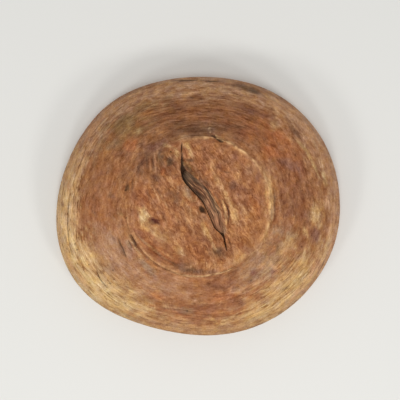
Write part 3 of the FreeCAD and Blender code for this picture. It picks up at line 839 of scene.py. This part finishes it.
# Long fibres that stand out of the tongue: where each starts and ends along it, its place across it, from the
# gap at 0 to the far side at 1, and its height
STRANDS = [
    (-15, -7, 0.42, 0.8), (-2.5, 5.5, 0.36, 0.8), (-6, 3, 0.9, 0.7), (21, 28, 0.8, 0.6), (5, 14, 0.54, 0.5),
    (-24, -16, 0.5, 0.5), (-12, -2, 0.68, 0.6), (7, 17, 0.8, 0.6), (-28, -20, 0.28, 0.5),
    (11, 20, 0.32, 0.5), (-5, 1, 0.55, 0.5), (14, 23, 0.62, 0.4),
]

# The tongue's colours: middle along and across it, half-length, half-width, colour and strength
TONGUE_PATCHES = [
    (-33, 0.5, 14, 0.8, "smoke", 0.55), (-36, 0.3, 7, 0.35, "coal", 0.5),
    (-22, 0.12, 16, 0.16, "coal", 0.55), (-24, 0.7, 8, 0.1, "coal", 0.7), (-8, 0.8, 9, 0.07, "coal", 0.5),
    (6, 0.47, 9, 0.07, "coal", 0.5), (8, 0.68, 8, 0.06, "coal", 0.45),
    (-18, 0.45, 11, 0.35, "chestnut", 0.5), (0, 0.45, 12, 0.25, "russet", 0.3),
    (10, 0.25, 12, 0.25, "chestnut", 0.4), (12, 0.92, 16, 0.1, "tan", 0.5),
    (-10, 0.97, 14, 0.08, "russet", 0.5), (29, 0.5, 12, 0.9, "chestnut", 0.5),
]


def strand_heights(along, share, wide, fibre):
    """How far the tongue's long fibres stand out at each point."""
    bend = 0.5 * wander(fibre, 9.0, 53)
    tallest = np.zeros(len(along))
    for start, end, place, height in STRANDS:
        way = (along - start) / (end - start)
        taper = np.sqrt(np.clip(4.0 * way * (1.0 - way), 0.0, 1.0))
        beside = (share - place) * wide - bend
        tallest = np.maximum(tallest, height * taper * np.exp(-((beside / 0.42) ** 2)))
    return tallest


def slab_faces(steps, strips):
    """The outward faces of a closed slab. Its points run strip by strip in each step, front then back."""
    def corner(place, layer):
        step, strip = place
        return (layer * (steps + 1) + step) * (strips + 1) + strip

    faces = []
    for i in range(steps):
        for j in range(strips):
            quad = [(i, j), (i + 1, j), (i + 1, j + 1), (i, j + 1)]
            faces.append([corner(place, 0) for place in quad])
            faces.append([corner(place, 1) for place in quad[::-1]])
    border = [(i, 0) for i in range(steps)] + [(steps, j) for j in range(strips)]
    border += [(i, strips) for i in range(steps, 0, -1)] + [(0, j) for j in range(strips, 0, -1)]
    for a, b in zip(border, border[1:] + border[:1]):
        faces.append([corner(a, 0), corner(a, 1), corner(b, 1), corner(b, 0)])
    return faces


def tongue_of_bark():
    along = np.repeat(np.linspace(*TONGUE_ENDS, TONGUE_STEPS + 1), TONGUE_STRIPS + 1)
    share = np.tile(np.linspace(0.0, 1.0, TONGUE_STRIPS + 1), TONGUE_STEPS + 1)  # of the way to the far side
    near = np.interp(along, *in_direction(NEAR_SIDE, TONGUE_DIRECTION)) + TONGUE_GAP
    far = np.interp(along, *in_direction(FAR_SIDE, TONGUE_DIRECTION)) + 0.1
    wide = far - near
    fibre = np.stack([along, near + wide * share, np.zeros(len(along))], axis=-1)
    coarse = wander(fibre * np.array([0.10, 1.0, 1.0]), 1.7, 51, 2)
    fine = wander(fibre * np.array([0.12, 1.0, 1.0]), 0.7, 52)
    strand = strand_heights(along, share, wide, fibre)

    # How deep the bark lies: deeper at its first end, smooth at its last, and rounded off beside the gap
    smooth_end = smoothstep(16.0, 26.0, along)
    rough = 1.0 - 0.75 * smooth_end
    z = TONGUE_NEAR_Z + (TONGUE_FAR_Z - TONGUE_NEAR_Z) * share ** 0.7
    z += 1.6 * smoothstep(-14.0, -32.0, along) * (1.0 - 0.5 * share) - 0.7 * smooth_end * (1.0 - share)
    z += rough * (0.75 * coarse + 0.35 * fine) * np.minimum(1.0, 4.0 * (1.0 - share) + 0.3) - strand
    z += 1.2 * np.exp(-((share * wide / 0.9) ** 2))
    to_end = np.minimum(along - TONGUE_ENDS[0], TONGUE_ENDS[1] - along)
    z = np.clip(z + 2.5 * np.exp(-((to_end / 1.6) ** 2)), 0.15, TONGUE_BACK_Z - 0.8)
    x, y = in_direction(fibre, TONGUE_DIRECTION)  # the same turn once more leads back to the plan
    front = np.stack([x, y, z], axis=-1)
    back = np.stack([x, y, np.full(len(x), TONGUE_BACK_Z)], axis=-1)
    mesh = bpy.data.meshes.new("bark_tongue")
    mesh.from_pydata((np.vstack([front, back]) * MM).tolist(), [], slab_faces(TONGUE_STEPS, TONGUE_STRIPS))
    mesh.polygons.foreach_set("use_smooth", [True] * len(mesh.polygons))

    tones = np.tile(linear(WOOD_COLOURS["bark"]), (len(x), 1))
    for place, middle, half_length, half_width, colour, strength in TONGUE_PATCHES:
        out = np.hypot((along - place) / half_length, (share - middle) / half_width) * (1.0 + 0.4 * coarse)
        stain(tones, strength * smoothstep(1.4, 0.3, out), colour)
    stain(tones, np.clip(1.15 * strand, 0.0, 0.8), "peach")
    # Painted shade on the tongue beside the gap on its near side, and its hidden back painted a third as
    # bright, as painted shade deep in the check
    edge = np.minimum(share, 1.0 - share) * wide
    tones *= (1.0 - 0.60 * np.exp(-((edge / 0.5) ** 2)) * (share < 0.5))[:, None]
    paint(mesh, np.vstack([tones, 0.3 * tones]))
    grain = np.stack([along, (share - 0.5) * TONGUE_WIDTH, z], axis=-1)
    keep(mesh, "grain", "FLOAT_VECTOR", "vector", np.tile(grain, (2, 1)))
    furrow = rough * np.clip(0.5 + 0.5 * coarse, 0.0, 1.0)
    keep(mesh, "furrow", "FLOAT", "value", np.tile(furrow, 2))
    piece = placed("bark_tongue", mesh)
    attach(piece, "root")
    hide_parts("included_bark")
    return piece


# ---- materials
def add(tree, kind, inputs=None, **settings):
    """A new shader node. Settings are its own properties; inputs are values, or sockets to link from."""
    node = tree.nodes.new(kind)
    for name, value in settings.items():
        setattr(node, name, value)
    for name, value in (inputs or {}).items():
        if isinstance(value, bpy.types.NodeSocket):
            tree.links.new(value, node.inputs[name])
        else:
            node.inputs[name].default_value = value
    return node


def joined(kind, inputs, **settings):
    """A new node in the tree that its first linked input comes from."""
    tree = next(value.id_data for value in inputs.values() if isinstance(value, bpy.types.NodeSocket))
    return add(tree, kind, inputs, **settings)


def calc(operation, first, second=0.0, third=0.0):
    return joined("ShaderNodeMath", {0: first, 1: second, 2: third}, operation=operation).outputs[0]


def vector(operation, first, second, third=None):
    inputs = {0: first, 1: second} if third is None else {0: first, 1: second, 2: third}
    return joined("ShaderNodeVectorMath", inputs, operation=operation).outputs[0]


def mask(tree, name):
    return add(tree, "ShaderNodeAttribute", attribute_name=name).outputs["Fac"]


def texture(place, size=1.0, detail=2.0, roughness=0.55, distortion=0.0):
    """Noise from 0 to 1 with features about size across, in the units of place."""
    inputs = {"Vector": place, "Scale": 1.0 / size, "Detail": detail, "Roughness": roughness}
    return joined("ShaderNodeTexNoise", {**inputs, "Distortion": distortion}).outputs["Fac"]


def ranged(value, low, high, to_low=0.0, to_high=1.0):
    """A value brought from one range to another, smooth at both ends."""
    inputs = {"Value": value, "From Min": low, "From Max": high, "To Min": to_low, "To Max": to_high}
    return joined("ShaderNodeMapRange", inputs, interpolation_type="SMOOTHSTEP").outputs["Result"]


def blend(share, first, second):
    """A value between two others, by a share."""
    inputs = {"Factor": share, "A": first, "B": second}
    return joined("ShaderNodeMix", inputs, data_type="FLOAT").outputs["Result"]


def dyed(share, colour, dye):
    """A colour mixed with another by a share."""
    inputs = {"Factor": share, 6: colour, 7: (*linear(dye), 1.0)}
    return joined("ShaderNodeMix", inputs, data_type="RGBA").outputs[2]


def shaded(colour, value, gains, level=0.5):
    """A colour made darker and lighter as a value leaves its level, by a gain for each channel."""
    offset = calc("SUBTRACT", value, level)
    each = joined("ShaderNodeCombineXYZ", {0: offset, 1: offset, 2: offset}).outputs[0]
    factor = vector("MULTIPLY_ADD", each, gains, (1.0, 1.0, 1.0))
    factor = vector("MAXIMUM", factor, (0.05, 0.05, 0.05))
    return vector("MULTIPLY", colour, factor)


def stretched(place, direction, along, across, upward):
    """Places measured along a direction in plan, across it and upwards, each in its own unit."""
    turn = (0.0, 0.0, math.radians(direction))
    inputs = {"Vector": place, "Rotation": turn, "Scale": (along, across, upward)}
    return joined("ShaderNodeMapping", inputs, vector_type="TEXTURE").outputs["Vector"]


def hairlines(value, level, width):
    """Thin lines, 1 in their middles, where a value crosses a level."""
    off = calc("ABSOLUTE", calc("SUBTRACT", value, level))
    return ranged(off, 0.0, width, 1.0, 0.0)


def mix_shaders(share, first, second, output):
    """Gives an output the first shader where the share is 0, and the second where it is 1."""
    mixed = joined("ShaderNodeMixShader", {0: share, 1: first, 2: second}).outputs["Shader"]
    tree = mixed.id_data
    tree.links.new(mixed, tree.nodes[output].inputs["Surface"])


def new_material(name):
    """A material, its node tree, its shader, and the place on the object in millimetres."""
    material = bpy.data.materials.new(name)
    material.use_nodes = True
    tree = material.node_tree
    place = add(tree, "ShaderNodeTexCoord").outputs["Object"]
    return material, tree, tree.nodes["Principled BSDF"], vector("MULTIPLY", place, (1e3, 1e3, 1e3))


def bumped(shader, height, strength, distance):
    """Gives a shader small relief from a height, with a distance in metres."""
    bump = joined("ShaderNodeBump", {"Height": height, "Strength": strength, "Distance": distance})
    bump.id_data.links.new(bump.outputs["Normal"], shader.inputs["Normal"])


def carved_wood():
    """Dry, hand-polished wood: ring lines on the wall, flecked end grain on the foot, and fine pores."""
    material, tree, shader, place = new_material("carved_wood")
    rings, disc, within = mask(tree, "rings"), mask(tree, "disc"), mask(tree, "within")
    lined, steep, worn = mask(tree, "lined"), mask(tree, "steep"), mask(tree, "worn")
    flat = vector("MULTIPLY", place, (1.0, 1.0, 0.4))
    turned = joined("ShaderNodeCombineXYZ", {2: rings}).outputs[0]
    bent = joined("ShaderNodeTexNoise", {"Vector": place, "Scale": 0.07}).outputs["Color"]
    drift = vector("MULTIPLY_ADD", bent, (6.0, 6.0, 6.0), place)

    def along_rings(length, width, detail, roughness):
        """Noise that follows the year rings, with features so long and so wide."""
        steps = vector("MULTIPLY", flat, (1 / length,) * 3)
        steps = vector("MULTIPLY_ADD", turned, (0.0, 0.0, 1 / width), steps)
        return texture(steps, 1.0, detail, roughness)

    def flecks(along, across, upward, *look):
        """Noise drawn out along the flecks of the end grain."""
        return texture(stretched(drift, FLECK_DIRECTION, along, across, upward), 1.0, *look)

    # The figure, broad and fine: rings on the wall, flecks on the foot, fibres on the steep upper wall
    ring_share = ranged(lined, 0.30, 0.85)
    figure = blend(ring_share, along_rings(11.0, 7.5, 5.0, 0.70), along_rings(24.0, 3.4, 4.0, 0.65))
    end_figure = flecks(9.0, 5.0, 14.0, 5.0, 0.72, 0.7)
    end_figure = blend(0.35, end_figure, ranged(end_figure, 0.41, 0.60, 0.34, 0.68))
    figure = blend(disc, figure, end_figure)
    strips = texture(vector("MULTIPLY", drift, (1.0, 1.0, 0.12)), 8.0, 3.0, 0.6)
    figure = blend(steep, figure, strips)
    calm = calc("SUBTRACT", 1.0, mask(tree, "calm"))
    figure = calc("MULTIPLY_ADD", calc("SUBTRACT", figure, 0.5), calm, 0.5)
    fine = blend(lined, along_rings(5.0, 2.0, 3.0, 0.65), along_rings(17.0, 1.5, 3.0, 0.6))
    fine = blend(disc, fine, flecks(6.5, 1.3, 9.0, 3.0, 0.65, 0.25))
    upright = texture(stretched(drift, 90.0, 8.0, 1.4, 8.0), 1.0, 2.0, 0.5)
    fine = blend(mask(tree, "hatched"), fine, upright)
    fibres = texture(vector("MULTIPLY", drift, (1.0, 1.0, 0.055)), 1.5, 3.0, 0.6)
    fine = blend(steep, fine, fibres)

    # Cloudiness, grit, pores, and two kinds of dark hairline that come and go
    mottle = texture(drift, 14.0, 4.0, 0.62)
    tint = texture(vector("MULTIPLY", drift, (-1.0, 1.0, 0.5)), 9.0, 4.0, 0.68)
    grit = texture(flat, 1.7, 2.0, 0.6)
    pit = ranged(flecks(1.8, 0.8, 2.5, 2.0, 0.5), 0.38, 0.29)
    line = calc("MULTIPLY", hairlines(along_rings(34.0, 5.0, 3.0, 0.5), 0.5, 0.045), lined)
    line = calc("MULTIPLY", line, ranged(texture(place, 11.0, 1.0), 0.40, 0.56))
    torn = blend(disc, along_rings(34.0, 4.0, 3.0, 0.55), flecks(10.0, 3.4, 10.0, 3.0, 0.6, 0.4))
    torn = hairlines(torn, 0.47, 0.022)
    torn = calc("MULTIPLY", torn, ranged(texture(place, 8.0, 1.0), 0.50, 0.62))

    colour = add(tree, "ShaderNodeAttribute", attribute_name="tone").outputs["Color"]
    for value, gains, level in (
        (figure, (2.1, 2.8, 3.2), 0.5),
        (fine, (0.9, 1.25, 1.7), 0.5),
        (ranged(fine, 0.56, 0.68), (0.22, 0.30, 0.38), 0.0),
        (ranged(fine, 0.42, 0.28), (-0.22, -0.30, -0.40), 0.0),
        (mottle, (0.5, 0.5, 0.4), 0.5),
        (tint, (0.15, 0.0, -1.0), 0.5),
        (grit, (0.55, 0.7, 0.95), 0.5),
        (line, (-0.50, -0.60, -0.70), 0.0),
        (torn, (-0.40, -0.48, -0.56), 0.0),
        (pit, (-0.26, -0.36, -0.46), 0.0),
        (within, (-0.34, -0.40, -0.44), 0.0),
    ):
        colour = shaded(colour, value, gains, level)
    # Pale wear and painted highlight on the foot's edge
    wear = calc("MULTIPLY", worn, ranged(figure, 0.35, 0.60, 0.35, 1.0))
    colour = dyed(wear, colour, (214, 172, 124))
    colour = shaded(colour, calc("MULTIPLY", wear, figure), (0.8, 0.9, 0.9), 0.30)
    # painted shade in the corner between the foot and the wall
    colour = shaded(colour, mask(tree, "corner_shade"), (-0.40, -0.42, -0.42), 0.0)
    # painted shade in the checks, pinholes, rim checks and pith pit, as near-black brown
    colour = dyed(calc("MULTIPLY", mask(tree, "hollow"), 0.9), colour, (42, 30, 20))
    tree.links.new(colour, shader.inputs["Base Color"])

    # The oiled hollow shines a little more, and the pores less
    dullness = ranged(mottle, 0.3, 0.7, 0.68, 0.82)
    dullness = calc("SUBTRACT", dullness, calc("MULTIPLY", within, 0.14))
    tree.links.new(calc("MULTIPLY_ADD", pit, 0.15, dullness), shader.inputs["Roughness"])
    shader.inputs["Specular IOR Level"].default_value = 0.1
    height = calc("MULTIPLY_ADD", figure, 0.8, fine)
    for value, gain in ((line, -0.25), (pit, -0.4), (grit, 0.5)):
        height = calc("MULTIPLY_ADD", value, gain, height)
    bumped(shader, height, 0.6, 0.0006)
    return material


def bark():
    """Dead, fibrous bark, furrowed along its length and dusty in the furrows."""
    material, tree, shader, place = new_material("bark")
    grain = add(tree, "ShaderNodeAttribute", attribute_name="grain").outputs["Vector"]
    fibre = texture(stretched(grain, 0.0, 11.0, 0.9, 3.0), 1.0, 3.0, 0.6)
    strip = texture(stretched(grain, 0.0, 16.0, 1.7, 6.0), 1.0, 2.0, 0.5)
    crumb = texture(place, 1.1, 2.0, 0.6)
    colour = add(tree, "ShaderNodeAttribute", attribute_name="tone").outputs["Color"]
    colour = shaded(colour, fibre, (3.2, 3.6, 3.9), 0.52)
    colour = shaded(colour, strip, (2.9, 3.1, 3.3), 0.53)
    colour = shaded(colour, mask(tree, "furrow"), (-0.5, -0.5, -0.5), 0.35)
    colour = shaded(colour, crumb, (0.5, 0.5, 0.5))
    tree.links.new(colour, shader.inputs["Base Color"])
    tree.links.new(ranged(fibre, 0.3, 0.7, 0.9, 0.74), shader.inputs["Roughness"])
    shader.inputs["Specular IOR Level"].default_value = 0.25
    bumped(shader, calc("MULTIPLY_ADD", crumb, 0.4, fibre), 0.8, 0.0008)
    return material


carved_body().data.materials.append(carved_wood())
tongue_of_bark().data.materials.append(bark())

# ---- the stage
CAMERA_PLACE = (0.0024, -0.0072, -1.23)  # metres, straight below the middle of the view
LENS, SENSOR = 99.75, 36.0
SHEET_HALF = 6.0  # metres
SHEET_GAP = 0.2  # between the bowl and each sheet
PAPER_TINT = (1.0, 0.995, 0.955)
SURROUND_LEVEL = 0.485
SURROUND_SEEN = (0.505, 0.502, 0.482, 1)
LIGHT_DISTANCE = 2.6  # metres

# Area lights: plan angle, elevation (negative ones are below the bowl), size in metres and watts
LIGHTS = {
    "below_middle": (90.0, -84.0, 1.1, 26.0),
    "below_left": (135.0, -46.0, 0.45, 10.2),
    "below_right": (45.0, -46.0, 0.45, 10.6),
    "below_front": (90.0, -51.0, 0.45, 11.5),
    "above_middle": (0.0, 86.0, 1.1, 36.0),
    "above_left": (-140.0, 79.0, 0.7, 15.0),
    "above_right": (-40.0, 80.0, 0.7, 9.2),
}


def paper(name, grey, glow):
    """Matt pale paper that is clear from behind, so one sheet never hides the bowl from the other side."""
    material = bpy.data.materials.new(name)
    material.use_nodes = True
    tree = material.node_tree
    shader = tree.nodes["Principled BSDF"]
    shader.inputs["Base Color"].default_value = (*(grey * share for share in PAPER_TINT), 1.0)
    shader.inputs["Emission Color"].default_value = (*PAPER_TINT, 1.0)
    shader.inputs["Emission Strength"].default_value = glow
    shader.inputs["Roughness"].default_value = 0.9
    shader.inputs["Specular IOR Level"].default_value = 0.1
    clear = add(tree, "ShaderNodeBsdfTransparent").outputs["BSDF"]
    from_behind = add(tree, "ShaderNodeNewGeometry").outputs["Backfacing"]
    mix_shaders(from_behind, shader.outputs["BSDF"], clear, "Material Output")
    return material


def paper_sheet(name, z, faces_up, material):
    corners = [(x * SHEET_HALF, y * SHEET_HALF, z * MM) for x, y in ((-1, -1), (1, -1), (1, 1), (-1, 1))]
    mesh = bpy.data.meshes.new(name)
    mesh.from_pydata(corners if faces_up else corners[::-1], [], [(0, 1, 2, 3)])
    mesh.materials.append(material)
    sheet = placed(name, mesh)
    sheet.visible_shadow = sheet.visible_diffuse = sheet.visible_glossy = sheet.visible_transmission = False


def studio_world():
    """An even surround: it lights the bowl at one level, and shows as pale paper past the floor's edge."""
    surround = bpy.data.worlds.new("studio")
    surround.use_nodes = True
    tree = surround.node_tree
    lit = tree.nodes["Background"]
    lit.inputs["Color"].default_value = (SURROUND_LEVEL, SURROUND_LEVEL, SURROUND_LEVEL, 1)
    seen = add(tree, "ShaderNodeBackground", {"Color": SURROUND_SEEN}).outputs["Background"]
    from_camera = add(tree, "ShaderNodeLightPath").outputs["Is Camera Ray"]
    mix_shaders(from_camera, lit.outputs["Background"], seen, "World Output")
    return surround


def soft_light(name, plan_angle, elevation, size, watts):
    """An area light aimed at the bowl."""
    turn, tilt = math.radians(plan_angle), math.radians(elevation)
    way = Vector((math.cos(turn) * math.cos(tilt), math.sin(turn) * math.cos(tilt), math.sin(tilt)))
    data = bpy.data.lights.new(name, "AREA")
    data.shape = "DISK"
    data.size = size
    data.energy = watts
    light = placed(name, data)
    light.location = way * LIGHT_DISTANCE + Vector((0.0, 0.0, HEIGHT * MM / 2.0))
    light.rotation_euler = way.to_track_quat("Z", "Y").to_euler()


camera = placed("camera", bpy.data.cameras.new("camera"))
camera.data.lens = LENS
camera.data.sensor_width = SENSOR
camera.location = CAMERA_PLACE
camera.rotation_euler = (math.pi, 0.0, 0.0)
bpy.context.scene.camera = camera

# The floor lies under the foot, and the backdrop is what the rim lies on when the bowl is turned over
paper_sheet("floor", -SHEET_GAP, True, paper("floor_paper", 0.30, 0.34))
paper_sheet("backdrop", HEIGHT + SHEET_GAP, False, paper("backdrop_paper", 0.67, 0.0))
bpy.context.scene.world = studio_world()
for light_name, light_settings in LIGHTS.items():
    soft_light(light_name, *light_settings)

scene = bpy.context.scene
scene.view_settings.view_transform = "Standard"
scene.view_settings.look = "None"
